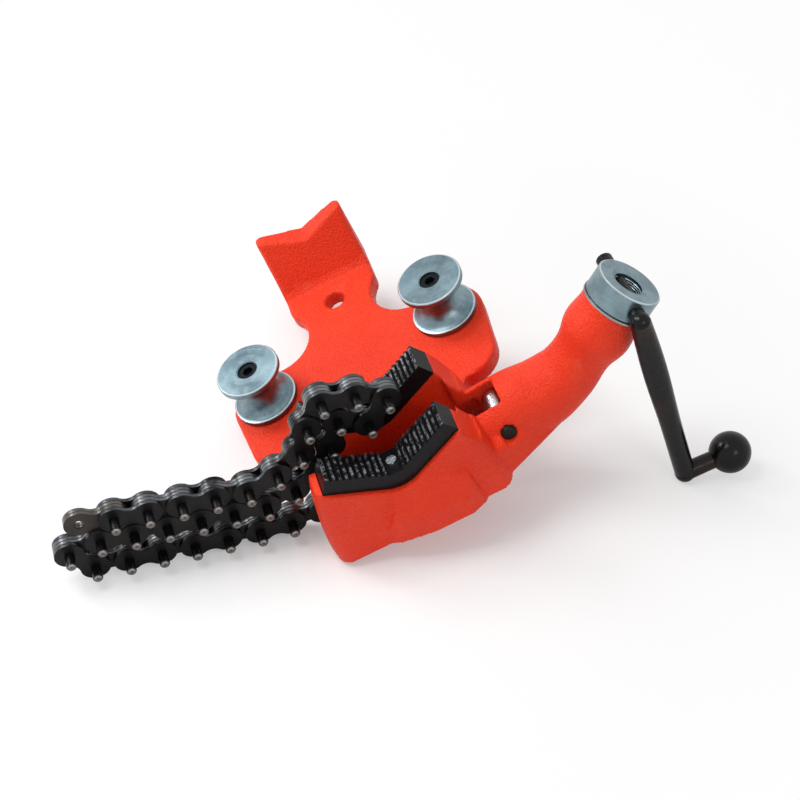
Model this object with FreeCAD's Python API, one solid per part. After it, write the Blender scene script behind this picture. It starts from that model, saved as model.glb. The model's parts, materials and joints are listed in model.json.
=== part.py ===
import FreeCAD, Part
import math
import os

from FreeCAD import Vector

# Chain pipe vise of the top-screw bench kind, for pipe up to 6 inch.
# The vise is built square first: X to the right, Y to the back along the pipe, Z up from the
# underside of the base plate. The chain runs in the plane Y = 0 and X = 0 halves the jaws.
# At the end everything is laid down as it stands when it is not bolted to a bench: on the
# left lobe and on the bend of the crank, with the spare chain on the floor beside it.

# Base plate
plate_t = 14.5
lobe_x = 81.4
lobe_y = 120.0
lobe_r = 30.6
flank_x = 79.0
flank_y = 75.0
flank_r = 28.5
flank_end_deg = 100.0
root_x = 66.0
root_y = 30.0
neck_half = 30.7
neck_y = 178.0
tail_half = 39.4
tail_side_y = 205.0
tail_foot_y = 221.0
tail_end_y = 257.0
tail_corner_r = 6.0
plate_edge_r = 2.6
boss_r = 27.5
boss_h = 1.2
bench_hole_r = 8.5
bench_hole_y = 195.0
bench_hole_rim = 1.5

# Pipe rest at the tail
rest_top_z = 62.0
rest_v_z = 50.0
rest_lean_y = 22.0
rest_wall_t = 12.0
rest_horn_half = 33.5
rest_edge_r = 2.5
rest_side_r = 4.8
rest_foot_in = 1.0
rest_root_in = 6.0
rest_root_h = 5.0

# Jaw block
block_drop = 14.0
block_left = 73.0
block_right = 75.0
block_front = 50.0
block_back = 45.0
block_top_z = 80.0
block_top_left = 54.0
block_top_right = 61.0
block_top_front = 45.2
block_mid_z = 40.0
block_mid_left = 67.5
block_mid_right = 68.0
block_mid_front = 47.5
block_corner_r = 12.0
block_top_corner_r = 6.0
lip_z = 64.5
channel_half = 19.25
channel_floor_t = 4.5
channel_floor_end = 46.0
open_end_x = 119.5
ramp_low_x = 136.0
ramp_low_z = -5.0
ramp_high_x = 122.0
ramp_high_z = 28.0
slot_half = 12.75
slot_end_x = 91.3
notch_x = 66.0
notch_z = 39.0
notch_end_z = 34.8
notch_inner_x = 38.0
lip_slope = 1.0
ramp_start_x = 90.3
ledge_x = 59.0
ledge_z = 24.0
ledge_end_x = 75.0
pad_root_y = -44.0
pad_front_y = -58.5
pad_face = [(-29.0, -block_drop), (-27.0, 4.0), (-8.0, 33.0), (14.0, 38.0), (47.0, 24.0), (50.0, -block_drop)]
pad_plan = [(-31.0, pad_root_y), (-31.0, -50.0), (-22.0, -54.0), (6.0, pad_front_y), (36.0, pad_front_y), (46.0, -54.5),
            (52.0, -52.0), (52.0, pad_root_y)]
pad_side = [(pad_root_y, -block_drop), (pad_front_y, -block_drop), (-57.5, 6.0), (-46.5, 40.0), (pad_root_y, 41.0)]

# Jaws
jaw_half = 47.7
jaw_end_z = 76.4
jaw_rise_deg = 30.0
jaw_t = 15.8
jaw_w = 23.8
jaw_bottom_r = 24.0
jaw_flat_half = 5.0
tooth_n = 10
tooth_depth = 2.1
tooth_lean_share = 0.35
tooth_crest_share = 0.75
jaw_fit = 0.15
jaw_screw_r = 2.5
jaw_screw_head_r = 4.0
jaw_screw_head_h = 2.6
jaw_screw_len = 24.0
jaw_screw_slot = 1.1

# Bending rollers
roller_r = 26.8
roller_base_r = 26.8
roller_waist_r = 14.5
roller_h = 41.0
roller_rim = 4.6
roller_edge = 1.0
roller_bore_r = 5.05
roller_pocket_r = 8.3
roller_pocket_depth = 12.5
roller_bevel = 0.9
roller_gap = 0.3
bolt_r = 5.0
bolt_head_r = 8.0
bolt_head_h = 10.0
bolt_hex_r = 4.6
bolt_hex_depth = 5.0
bolt_end_gap = 1.0

# Guide roller under the slot
guide_x = 86.5
guide_z = 17.0
guide_r = 9.2
guide_half = 12.0
guide_pin_r = 5.8
guide_pin_chamfer = 1.0
guide_fit = 0.05
guide_pin_half = 29.6

# Tower and its screw, measured down the screw axis from the middle of the head
head_x = 207.6
head_z = 70.9
axis_deg = 40.3
head_r = 26.0
head_half = 10.0
head_edge = 1.0
head_bore_r = 11.6
head_bore_bevel = 3.2
head_bore_bevel_h = 1.9
head_bore_depth = 13.0
hub_r = 15.92
hub_len = 11.0
washer_t = 1.7
washer_r = 26.6
washer_gap = 0.1
washer_bore_gap = 0.3
tower_bore_r = 16.0
tower_bore_end = 111.0
collar_r = 26.2
shoulder_r = 23.2
root_tube_r = 28.4
root_tube_z = 10.6
arm_bend_r = 64.0
root_start_x = 54.0
root_share = [0.0, 0.5, 1.0]
bend_share = [(0.35, 0.25), (0.7, 0.7), (1.0, 1.0)]
tower_profile = [(60.0, 22.7), (53.5, 23.4), (47.0, 25.3), (41.0, 26.9), (28.0, 26.6)]
web_wide = [(-47.0, -block_drop), (43.0, -block_drop), (43.0, 13.5), (-43.5, 22.5)]
web_narrow = [(-17.0, -11.0), (17.0, -11.0), (12.0, 2.6), (-12.0, 2.6)]
web_wide_x = 64.0
web_narrow_x = 137.5
web_edge_r = 6.0
screw_r = 8.0
screw_end = 60.0
thread_fit = 0.06
screw_start_gap = 0.8
anchor_r = 13.4
anchor_top = 47.0
anchor_thread_len = 12.0
anchor_hollow_r = 8.6
anchor_pin_s = 99.3
anchor_fork_gap = 0.25
anchor_slot_r = 12.4
anchor_end_r = 9.0
anchor_pin_in = 1.0

# Crank
rod_r = 6.5
rod_fit = 0.05
rod_back = 41.0
rod_front = 34.9
rod_dome = 2.4
elbow_r = 7.7
arm_len = 182.0
arm_swing_deg = -3.5
arm_r = 8.2
arm_shape_share = [
    (0.0, 0.95, 0.9), (0.125, 1.08, 0.84), (0.25, 1.16, 0.79), (0.375, 1.16, 0.79), (0.5, 1.09, 0.88), (0.625, 1.02, 0.97),
    (0.75, 1.0, 0.98), (0.875, 1.0, 0.98), (0.985, 1.0, 0.98),
]
bend_r = 8.4
neck_len = 39.0
neck_r = 7.6
neck_waist_r = 6.9
ball_r = 17.0

# Chain
pitch = 25.4
lobe_plate_r = 11.5
waist_half = 7.2
link_t = 3.2
pin_r = 3.9
pin_fit = 0.06
side_play = 0.08
pin_front = 18.0
pin_back = 10.4
pin_short = 8.4
pin_chamfer = 0.7
short_pins = 3

# Headings of the links from the anchor to the free end, in degrees from +X towards +Z.
# The first list runs through the channel, the last ones fold over the jaws and back.
channel_headings = [196.5, 187.0, 174.5, 172.0, 179.8, 179.8, 178.2, 175.9, 171.9, 164.0]
floor_row_headings = [158.8, 158.8, 158.8, 158.8, 157.8]
fold_headings = [112.0, -3.0]
back_row_headings = [-21.2, -21.2, -21.2, -21.2, -21.0]
rise_headings = [4.5, 18.0, 47.0, 55.5, -42.5, 36.7, 137.7]
drop_headings = [161.0, 221.5, 235.5, 202.5, 184.5]
top_row_headings = [158.5, 158.8, 158.8, 158.8, 158.8]

cut_over = 20.0

UP = Vector(0, 0, 1)
BACK = Vector(0, 1, 0)
axis_rad = math.radians(axis_deg)
SCREW_UP = Vector(math.cos(axis_rad), 0, math.sin(axis_rad))
SCREW_SIDE = Vector(math.sin(axis_rad), 0, -math.cos(axis_rad))
HEAD = Vector(head_x, 0, head_z)


def down_axis(s):
    """Point on the screw axis at the distance s below the middle of the head."""
    return HEAD - SCREW_UP * s


def prism_xz(points, y_low, y_high):
    """Solid with the outline in the XZ plane, from y_low to y_high."""
    wire = Part.makePolygon([Vector(x, y_low, z) for x, z in points] + [Vector(points[0][0], y_low, points[0][1])])
    return Part.Face(wire).extrude(Vector(0, y_high - y_low, 0))


def box(x0, x1, y0, y1, z0, z1):
    return Part.makeBox(x1 - x0, y1 - y0, z1 - z0, Vector(x0, y0, z0))


def rounded_rect(x0, x1, y0, y1, z, r):
    """Closed wire of a rectangle with round corners at the height z."""
    corners = [(x1 - r, y0 + r, -90), (x1 - r, y1 - r, 0), (x0 + r, y1 - r, 90), (x0 + r, y0 + r, 180)]
    edges = []
    last = None
    first = None
    for cx, cy, start in corners:
        ends = []
        for turn in (0, 45, 90):
            a = math.radians(start + turn)
            ends.append(Vector(cx + r * math.cos(a), cy + r * math.sin(a), z))
        if last is None:
            first = ends[0]
        else:
            edges.append(Part.LineSegment(last, ends[0]).toShape())
        edges.append(Part.Arc(ends[0], ends[1], ends[2]).toShape())
        last = ends[2]
    edges.append(Part.LineSegment(last, first).toShape())
    return Part.Wire(edges)


def revolve_about(points, origin, axis, side):
    """Turn a closed outline of (radius, along) points about an axis."""
    world = [origin + side * r + axis * a for r, a in points]
    face = Part.Face(Part.makePolygon(world + [world[0]]))
    return face.revolve(origin, axis, 360)


# Base casting

def arc_between(centre, r, start, end):
    """Shorter arc about a centre, from start to end."""
    middle = (start - centre) + (end - centre)
    return Part.Arc(start, centre + middle * (r / middle.Length), end).toShape()


def plate_outline():
    """Right half from the tail to the block in tangent arcs, then its mirror."""
    lobe = Vector(lobe_x, lobe_y, 0)
    dx = lobe_x - neck_half
    dy = neck_y - lobe_y
    waist_r = (dx ** 2 + dy ** 2 - lobe_r ** 2) / (2 * (dx + lobe_r))
    waist_c = Vector(neck_half + waist_r, neck_y, 0)
    step = tail_half - neck_half
    rise = tail_side_y - neck_y
    both = (step ** 2 + rise ** 2) / (2 * step)
    side_r = both - waist_r
    side_c = Vector(tail_half - side_r, tail_side_y, 0)
    side = Vector(tail_half, tail_side_y, 0)
    side_join = waist_c + (side_c - waist_c) * (waist_r / both)
    lobe_join = waist_c + (lobe - waist_c) * (waist_r / (waist_r + lobe_r))
    flank_c = Vector(flank_x, flank_y, 0)
    line = flank_c - lobe
    share = (lobe_r - flank_r) / line.Length
    along = line * (1 / line.Length)
    out = Vector(-along.y, along.x, 0) * math.sqrt(1 - share ** 2) + along * share
    lobe_out = lobe + out * lobe_r
    flank_out = flank_c + out * flank_r
    swing = math.radians(flank_end_deg)
    flank_end = flank_c + Vector(math.cos(swing), -math.sin(swing), 0) * flank_r
    root = Vector(root_x, root_y, 0)
    tail_a = Vector(tail_half, tail_end_y - tail_corner_r, 0)
    corner = Vector(tail_half - tail_corner_r, tail_end_y - tail_corner_r, 0)
    tail_b = Vector(tail_half - tail_corner_r, tail_end_y, 0)
    right = [
        arc_between(corner, tail_corner_r, tail_b, tail_a),
        Part.LineSegment(tail_a, side).toShape(),
        arc_between(side_c, side_r, side, side_join),
        arc_between(waist_c, waist_r, side_join, lobe_join),
        arc_between(lobe, lobe_r, lobe_join, lobe_out),
        Part.LineSegment(lobe_out, flank_out).toShape(),
        arc_between(flank_c, flank_r, flank_out, flank_end),
        Part.LineSegment(flank_end, root).toShape(),
    ]
    left = [e.mirror(Vector(0, 0, 0), Vector(1, 0, 0)) for e in right]
    across_tail = Part.LineSegment(tail_b, Vector(-tail_b.x, tail_b.y, 0)).toShape()
    across_root = Part.LineSegment(root, Vector(-root.x, root.y, 0)).toShape()
    return Part.Wire(Part.__sortEdges__(right + left + [across_tail, across_root]))


def rounded_plate():
    plate = Part.Face(plate_outline()).extrude(UP * plate_t)
    rim = [e for e in plate.Edges if e.BoundBox.ZLength < plate_t / 10 and e.BoundBox.ZMin > plate_t / 2
           and e.BoundBox.YMin > block_back]
    return plate.makeFillet(plate_edge_r, rim)


def pipe_rest():
    """Wall that leans back from the tail, with the shallow V in its top."""
    foot = tail_foot_y + rest_foot_in
    root = foot - rest_root_in
    top_front = foot + rest_lean_y
    side = [
        (root, 0), (root, plate_t - rest_foot_in), (foot, plate_t + rest_root_h), (top_front, rest_top_z),
        (top_front + rest_wall_t, rest_top_z), (tail_end_y, plate_t), (tail_end_y, 0),
    ]
    wire = Part.makePolygon([Vector(-tail_half, y, z) for y, z in side] + [Vector(-tail_half, side[0][0], side[0][1])])
    wall = Part.Face(wire).extrude(Vector(2 * tail_half, 0, 0))
    steep = [e for e in wall.Edges if e.BoundBox.ZLength > plate_t and e.BoundBox.XLength < plate_t / 1000]
    wall = wall.makeFillet(rest_side_r, steep)
    vee = prism_xz([(0, rest_v_z), (rest_horn_half, rest_top_z), (rest_horn_half, rest_top_z + cut_over),
                    (-rest_horn_half, rest_top_z + cut_over), (-rest_horn_half, rest_top_z)],
                   foot - cut_over, tail_end_y + cut_over)
    return wall.cut(vee)


def block_pad():
    """Shallow swelling low on the front of the block."""
    face = prism_xz(pad_face, pad_front_y - cut_over, pad_root_y)
    plan_wire = Part.makePolygon([Vector(x, y, -block_drop) for x, y in pad_plan + pad_plan[:1]])
    plan = Part.Face(plan_wire).extrude(UP * (block_top_z + block_drop))
    wide = pad_plan[-1][0] - pad_plan[0][0]
    side_wire = Part.makePolygon([Vector(pad_plan[0][0], y, z) for y, z in pad_side + pad_side[:1]])
    side = Part.Face(side_wire).extrude(Vector(wide, 0, 0))
    return face.common(plan).common(side)


def jaw_block():
    """Straight below the plate's underside, drawn in above it."""
    foot = Part.Face(rounded_rect(-block_left, block_right, -block_front, block_back, -block_drop, block_corner_r))
    sections = [
        rounded_rect(-block_left, block_right, -block_front, block_back, 0, block_corner_r),
        rounded_rect(-block_mid_left, block_mid_right, -block_mid_front, block_back, block_mid_z, block_corner_r),
        rounded_rect(-block_top_left, block_top_right, -block_top_front, block_back, block_top_z, block_top_corner_r),
    ]
    block = Part.makeLoft(sections, True, False)
    return foot.extrude(UP * block_drop).fuse(block).fuse(block_pad())


def tube_section(centre, direction, radius):
    return Part.Wire(Part.makeCircle(radius, centre, direction))


def tower_body():
    """Arm that grows out of the block, turns up and ends in the round collar."""
    bend_x = head_x - (head_z - root_tube_z) / math.tan(axis_rad)
    tangent = arm_bend_r * math.tan(axis_rad / 2)
    hub = Vector(bend_x - tangent, 0, root_tube_z + arm_bend_r)

    def on_bend(share):
        a = axis_rad * share
        return hub + Vector(math.sin(a), 0, -math.cos(a)) * arm_bend_r, Vector(math.cos(a), 0, math.sin(a))

    flat = Vector(1, 0, 0)
    start_x = bend_x - tangent
    sections = []
    for share in root_share:
        x = root_start_x + (start_x - root_start_x) * share
        sections.append(tube_section(Vector(x, 0, root_tube_z), flat, root_tube_r))
    for share, swell in bend_share:
        centre, direction = on_bend(share)
        sections.append(tube_section(centre, direction, root_tube_r + (shoulder_r - root_tube_r) * swell))
    for s, r in tower_profile:
        sections.append(tube_section(down_axis(s), SCREW_UP, r))
    sections.append(tube_section(down_axis(head_half + washer_t + 2 * washer_gap), SCREW_UP, collar_r))
    return Part.makeLoft(sections, True, False)


def root_web():
    """Foot of the arm, wide at the block and narrow under the tower."""
    wires = []
    for x, ring in ((web_wide_x, web_wide), (web_narrow_x, web_narrow)):
        pts = [Vector(x, y, z) for y, z in ring]
        wires.append(Part.makePolygon(pts + [pts[0]]))
    web = Part.makeLoft(wires, True, True)
    long_edges = [e for e in web.Edges if e.BoundBox.XLength > (web_narrow_x - web_wide_x) / 2]
    return web.makeFillet(web_edge_r, long_edges)


def jaw_outline(clearance=0.0, teeth=True):
    """Outline of a jaw in the XZ plane. With a clearance it is the seat that the jaw lies in."""
    a = math.radians(jaw_rise_deg)
    along = Vector(math.cos(a), 0, math.sin(a))
    normal = Vector(-math.sin(a), 0, math.cos(a))
    end_top = Vector(jaw_half, 0, jaw_end_z) + along * clearance
    end_low = end_top - normal * (jaw_t + clearance)
    vertex_z = jaw_end_z - jaw_half * math.tan(a)
    low_vertex_z = vertex_z - (jaw_t + clearance) / math.cos(a)
    low_vertex = Vector(0, 0, low_vertex_z)
    tangent = jaw_bottom_r * math.tan(a)
    bend_start = low_vertex + along * tangent
    bend_low = Vector(0, 0, low_vertex_z + jaw_bottom_r / math.cos(a) - jaw_bottom_r)
    top = []
    if teeth:
        start = Vector(0, 0, vertex_z) + along * (jaw_flat_half / math.cos(a))
        span = (end_top - start).Length
        step = span / tooth_n
        for i in range(tooth_n):
            foot = start + along * (step * i)
            top.append(foot - normal * tooth_depth)
            top.append(start + along * (step * (i + tooth_lean_share)))
            top.append(start + along * (step * (i + tooth_crest_share)))
        top.append(end_top)
        top[0] = start - normal * tooth_depth
    else:
        top = [end_top + normal * cut_over]
    return top, end_top, end_low, bend_start, bend_low


def mirrored(v):
    return Vector(-v.x, v.y, v.z)


def jaw_blank(y_low, y_high, clearance=0.0, teeth=True):
    top, end_top, end_low, bend_start, bend_low = jaw_outline(clearance, teeth)
    right = top + [end_low]
    edges = []
    left = [mirrored(v) for v in right]
    chain_points = list(reversed(left)) + right
    if not teeth:
        high = Vector(0, 0, jaw_end_z + cut_over * 2)
        chain_points = [mirrored(end_low), mirrored(end_top), mirrored(top[0]), high, top[0], end_top, end_low]
    for p, q in zip(chain_points[:-1], chain_points[1:]):
        edges.append(Part.LineSegment(p, q).toShape())
    edges.append(Part.LineSegment(end_low, bend_start).toShape())
    edges.append(Part.Arc(bend_start, bend_low, mirrored(bend_start)).toShape())
    edges.append(Part.LineSegment(mirrored(bend_start), mirrored(end_low)).toShape())
    face = Part.Face(Part.Wire(Part.__sortEdges__(edges)))
    solid = face.extrude(Vector(0, y_high - y_low, 0))
    solid.translate(Vector(0, y_low, 0))
    return solid


def block_cuts():
    """Everything taken out of the block, the arm and the tower."""
    y_low = -block_front - cut_over
    y_high = block_back + cut_over
    seat = jaw_blank(y_low, y_high, jaw_fit, False)
    end_low = jaw_outline(jaw_fit, False)[2]
    high = block_top_z + cut_over * 2
    notch = prism_xz([
        (end_low.x, end_low.z), (notch_x, notch_z), (slot_end_x, notch_end_z), (slot_end_x, high),
        (notch_inner_x, high), (notch_inner_x, jaw_end_z),
    ], y_low, y_high)
    left_lip = prism_xz([
        (-end_low.x, lip_z), (-block_left - cut_over, lip_z - lip_slope), (-block_left - cut_over, high),
        (-notch_inner_x, high), (-notch_inner_x, jaw_end_z),
    ], y_low, y_high)
    floor_z = channel_floor_t - block_drop
    channel = box(-block_left - cut_over, ledge_x, -channel_half, channel_half, floor_z, high)
    cavity = box(0, ledge_end_x, -channel_half, channel_half, floor_z, ledge_z)
    open_floor = box(channel_floor_end, open_end_x, -slot_half, slot_half, -block_drop - cut_over, floor_z + channel_floor_t / 2)
    slot = box(0, slot_end_x, -slot_half, slot_half, floor_z, high)
    ramp = prism_xz([
        (ramp_start_x, floor_z), (open_end_x, floor_z), (ramp_low_x, ramp_low_z),
        (ramp_high_x, ramp_high_z), (ramp_start_x, ramp_high_z),
    ], -slot_half, slot_half)
    bore = Part.makeCylinder(tower_bore_r, tower_bore_end, down_axis(tower_bore_end), SCREW_UP)
    pin_hole = Part.makeCylinder(guide_pin_r, 2 * cut_over + 2 * guide_pin_half,
                                 Vector(guide_x, -cut_over - guide_pin_half, guide_z), BACK)
    return [seat, notch, left_lip, channel, cavity, open_floor, slot, ramp, bore, pin_hole]


def base_casting():
    body = rounded_plate()
    for piece in (pipe_rest(), jaw_block(), tower_body(), root_web()):
        body = body.fuse(piece)
    for side in (-1, 1):
        boss = Part.makeCylinder(boss_r, boss_h + plate_t / 2, Vector(side * lobe_x, lobe_y, plate_t / 2), UP)
        body = body.fuse(boss)
    for cutter in block_cuts():
        body = body.cut(cutter)
    holes = [Part.makeCylinder(bench_hole_r, plate_t + cut_over, Vector(0, bench_hole_y, -cut_over / 2), UP)]
    rim_cut = 2 * bench_hole_rim
    rim = Part.makeCone(bench_hole_r, bench_hole_r + rim_cut, rim_cut, Vector(0, bench_hole_y, plate_t - bench_hole_rim), UP)
    holes.append(rim)
    for side in (-1, 1):
        holes.append(Part.makeCylinder(bolt_r, plate_t + cut_over, Vector(side * lobe_x, lobe_y, -cut_over / 2), UP))
    for y in jaw_middles():
        holes.append(Part.makeCylinder(jaw_screw_r, jaw_screw_len, jaw_screw_foot(y), UP))
    for hole in holes:
        body = body.cut(hole)
    return body.removeSplitter()


# Jaws and their screws

def jaw_middles():
    middle = channel_half + jaw_w / 2
    return (-middle, middle)


def jaw_vertex_z():
    return jaw_end_z - jaw_half * math.tan(math.radians(jaw_rise_deg))


def jaw_flat_z():
    """Height of the small flat between the two arms, where the screw head sits."""
    return jaw_vertex_z() + jaw_flat_half * math.tan(math.radians(jaw_rise_deg)) - tooth_depth * math.cos(math.radians(jaw_rise_deg))


def jaw_screw_foot(y):
    return Vector(0, y, jaw_flat_z() - jaw_screw_len)


def jaw(y):
    blank = jaw_blank(y - jaw_w / 2, y + jaw_w / 2)
    hole = Part.makeCylinder(jaw_screw_r, jaw_screw_len + cut_over, jaw_screw_foot(y), UP)
    return blank.cut(hole)


def jaw_screws():
    screws = []
    for y in jaw_middles():
        shank = Part.makeCylinder(jaw_screw_r, jaw_screw_len, jaw_screw_foot(y), UP)
        head = Part.makeCylinder(jaw_screw_head_r, jaw_screw_head_h, Vector(0, y, jaw_flat_z()), UP)
        screw = shank.fuse(head)
        low = jaw_flat_z() + jaw_screw_head_h / 2
        high = low + jaw_screw_head_h
        half = jaw_screw_slot / 2
        reach = jaw_screw_head_r * 2
        screw = screw.cut([box(-reach, reach, y - half, y + half, low, high), box(-half, half, y - reach, y + reach, low, high)])
        screws.append(screw)
    return Part.makeCompound(screws)


# Bending rollers

def roller(side):
    low = plate_t + boss_h + roller_gap
    top = low + roller_h
    waist_z = low + roller_h / 2
    foot = Vector(side * lobe_x, lobe_y, 0)

    def at(r, z):
        return foot + Vector(r, 0, z)

    rim_low = low + roller_rim
    rim_high = top - roller_rim
    pocket = top - roller_pocket_depth
    edges = [
        Part.LineSegment(at(roller_bore_r, low), at(roller_base_r - roller_edge, low)).toShape(),
        Part.LineSegment(at(roller_base_r - roller_edge, low), at(roller_base_r, low + roller_edge)).toShape(),
        Part.LineSegment(at(roller_base_r, low + roller_edge), at(roller_base_r, rim_low)).toShape(),
        Part.Arc(at(roller_base_r, rim_low), at(roller_waist_r, waist_z), at(roller_r, rim_high)).toShape(),
        Part.LineSegment(at(roller_r, rim_high), at(roller_r, top - roller_edge)).toShape(),
        Part.LineSegment(at(roller_r, top - roller_edge), at(roller_r - roller_edge, top)).toShape(),
        Part.LineSegment(at(roller_r - roller_edge, top), at(roller_pocket_r + roller_bevel, top)).toShape(),
        Part.LineSegment(at(roller_pocket_r + roller_bevel, top), at(roller_pocket_r, top - roller_bevel)).toShape(),
        Part.LineSegment(at(roller_pocket_r, top - roller_bevel), at(roller_pocket_r, pocket)).toShape(),
        Part.LineSegment(at(roller_pocket_r, pocket), at(roller_bore_r, pocket)).toShape(),
        Part.LineSegment(at(roller_bore_r, pocket), at(roller_bore_r, low)).toShape(),
    ]
    return Part.Face(Part.Wire(edges)).revolve(foot, UP, 360)


def roller_bolt(side):
    seat = plate_t + boss_h + roller_gap + roller_h - roller_pocket_depth + roller_gap
    foot = Vector(side * lobe_x, lobe_y, bolt_end_gap)
    shank = Part.makeCylinder(bolt_r, seat - bolt_end_gap + bolt_head_h / 2, foot, UP)
    head = Part.makeCylinder(bolt_head_r, bolt_head_h, Vector(side * lobe_x, lobe_y, seat), UP)
    hexagon = []
    for i in range(7):
        a = math.radians(60 * i)
        hexagon.append(Vector(side * lobe_x + bolt_hex_r * math.cos(a), lobe_y + bolt_hex_r * math.sin(a),
                              seat + bolt_head_h - bolt_hex_depth))
    socket = Part.Face(Part.makePolygon(hexagon)).extrude(UP * cut_over)
    return shank.fuse(head).cut(socket)


# Guide roller and pin

def guide_roller():
    outer = Part.makeCylinder(guide_r, 2 * guide_half, Vector(guide_x, -guide_half, guide_z), BACK)
    inner = Part.makeCylinder(guide_pin_r + guide_fit, 2 * guide_half, Vector(guide_x, -guide_half, guide_z), BACK)
    return outer.cut(inner)


def guide_pin():
    pin = Part.makeCylinder(guide_pin_r, 2 * guide_pin_half, Vector(guide_x, -guide_pin_half, guide_z), BACK)
    return pin.makeChamfer(guide_pin_chamfer, [e for e in pin.Edges if e.Closed])


# Screw, head, washer and anchor

def screw_head():
    def ring(r, s):
        return (r, -s)

    outline = [
        ring(screw_r, head_bore_depth - head_half), ring(head_bore_r, head_bore_depth - head_half),
        ring(head_bore_r, -head_half + head_bore_bevel_h), ring(head_bore_r + head_bore_bevel, -head_half),
        ring(head_r - head_edge, -head_half), ring(head_r, -head_half + head_edge), ring(head_r, head_half - head_edge),
        ring(head_r - head_edge, head_half), ring(hub_r, head_half), ring(hub_r, head_half + hub_len),
        ring(screw_r, head_half + hub_len),
    ]
    head = revolve_about(outline, HEAD, SCREW_UP, SCREW_SIDE)
    cross = Part.makeCylinder(rod_r + rod_fit, 2 * head_r + cut_over, HEAD - BACK * (head_r + cut_over / 2), BACK)
    return head.cut(cross)


def chain_screw():
    start = rod_r + rod_fit + screw_start_gap
    return Part.makeCylinder(screw_r, screw_end - start, down_axis(screw_end), SCREW_UP)


def thrust_washer():
    low = down_axis(head_half + washer_gap + washer_t)
    outer = Part.makeCylinder(washer_r, washer_t, low, SCREW_UP)
    return outer.cut(Part.makeCylinder(tower_bore_r + washer_bore_gap, washer_t, low, SCREW_UP))


def chain_anchor():
    """Hollow nut that rides on the screw, forked at its lower end for the last link."""
    low = anchor_pin_s + anchor_end_r
    outline = [
        (screw_r + thread_fit, -anchor_top), (anchor_r, -anchor_top), (anchor_r, -low),
        (anchor_hollow_r, -low), (anchor_hollow_r, -anchor_top - anchor_thread_len),
        (screw_r + thread_fit, -anchor_top - anchor_thread_len),
    ]
    body = revolve_about(outline, HEAD, SCREW_UP, SCREW_SIDE)
    half = link_t + anchor_fork_gap
    fork = Part.makeBox(4 * anchor_r, 2 * half, cut_over + anchor_end_r + anchor_slot_r)
    fork.translate(Vector(-2 * anchor_r, -half, 0))
    fork.Placement = FreeCAD.Placement(down_axis(low + cut_over), FreeCAD.Rotation(UP, SCREW_UP)).multiply(fork.Placement)
    reach = anchor_r - anchor_pin_in
    pin = Part.makeCylinder(pin_r, 2 * reach, down_axis(anchor_pin_s) - BACK * reach, BACK)
    return body.cut(fork).fuse(pin.cut(fork))


# Crank

def arm_directions():
    swing = math.radians(arm_swing_deg)
    arm = Vector(math.sin(swing), 0, -math.cos(swing))
    neck = Vector(math.cos(swing), 0, math.sin(swing))
    return arm, neck


def crank_points():
    arm, neck = arm_directions()
    elbow = HEAD - BACK * rod_front
    bend = elbow + arm * arm_len
    ball = bend + neck * neck_len
    return elbow, bend, ball


def flat_section(centre, neck, half_w, half_t):
    """Ellipse across the arm, wide along the neck direction."""
    curve = Part.Ellipse(centre + neck * half_w, centre + BACK * half_t, centre)
    return Part.Wire(curve.toShape())


def crank_rod():
    """Rod through the head, with a domed end at the back."""
    end = rod_back + rod_front
    foot = crank_points()[0]
    side = Vector(1, 0, 0)
    edge = foot + side * rod_r + BACK * (end - rod_dome)
    tip = foot + BACK * end
    dome_r = (rod_r ** 2 + rod_dome ** 2) / (2 * rod_dome)
    half = math.asin(rod_r / dome_r) / 2
    middle = tip - BACK * dome_r + (side * math.sin(half) + BACK * math.cos(half)) * dome_r
    outline = Part.Wire([
        Part.LineSegment(foot, foot + side * rod_r).toShape(),
        Part.LineSegment(foot + side * rod_r, edge).toShape(),
        Part.Arc(edge, middle, tip).toShape(),
        Part.LineSegment(tip, foot).toShape(),
    ])
    return Part.Face(outline).revolve(foot, BACK, 360)


def crank_handle():
    arm, neck = arm_directions()
    elbow, bend, ball = crank_points()
    wires = []
    for share, w, t in arm_shape_share:
        wires.append(flat_section(elbow + arm * (arm_len * share), neck, arm_r * w, arm_r * t))
    bar = Part.makeLoft(wires, True, False)
    knee = Part.makeSphere(elbow_r, elbow)
    corner = Part.makeSphere(bend_r, bend)
    stem = Part.makeCone(neck_r, neck_waist_r, neck_len, bend, neck)
    knob = Part.makeSphere(ball_r, ball)
    body = crank_rod()
    for piece in (knee, bar, corner, stem, knob):
        body = body.fuse(piece)
    return body


# Chain

def figure_eight(length):
    """Outline of a link plate between two pins, in its own XZ plane."""
    half = length / 2
    rho = (half ** 2 + waist_half ** 2 - lobe_plate_r ** 2) / (2 * (lobe_plate_r - waist_half))
    k = rho + waist_half
    tx = lobe_plate_r * half / (lobe_plate_r + rho)
    tz = lobe_plate_r * k / (lobe_plate_r + rho)
    a = Vector(tx, 0, tz)
    b = Vector(length - tx, 0, tz)
    c = Vector(length - tx, 0, -tz)
    d = Vector(tx, 0, -tz)
    return Part.Wire([
        Part.Arc(a, Vector(half, 0, waist_half), b).toShape(),
        Part.Arc(b, Vector(length + lobe_plate_r, 0, 0), c).toShape(),
        Part.Arc(c, Vector(half, 0, -waist_half), d).toShape(),
        Part.Arc(d, Vector(-lobe_plate_r, 0, 0), a).toShape(),
    ])


def plate(y_low, thickness, hole_r):
    slab = Part.Face(figure_eight(pitch)).extrude(Vector(0, thickness, 0))
    slab.translate(Vector(0, y_low, 0))
    if hole_r:
        for x in (0, pitch):
            slab = slab.cut(Part.makeCylinder(hole_r, thickness, Vector(x, y_low, 0), BACK))
    return slab


def chain_pin(x, front, back):
    pin = Part.makeCylinder(pin_r, front + back, Vector(x, -front, 0), BACK)
    return pin.makeChamfer(pin_chamfer, [e for e in pin.Edges if e.Closed])


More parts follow.
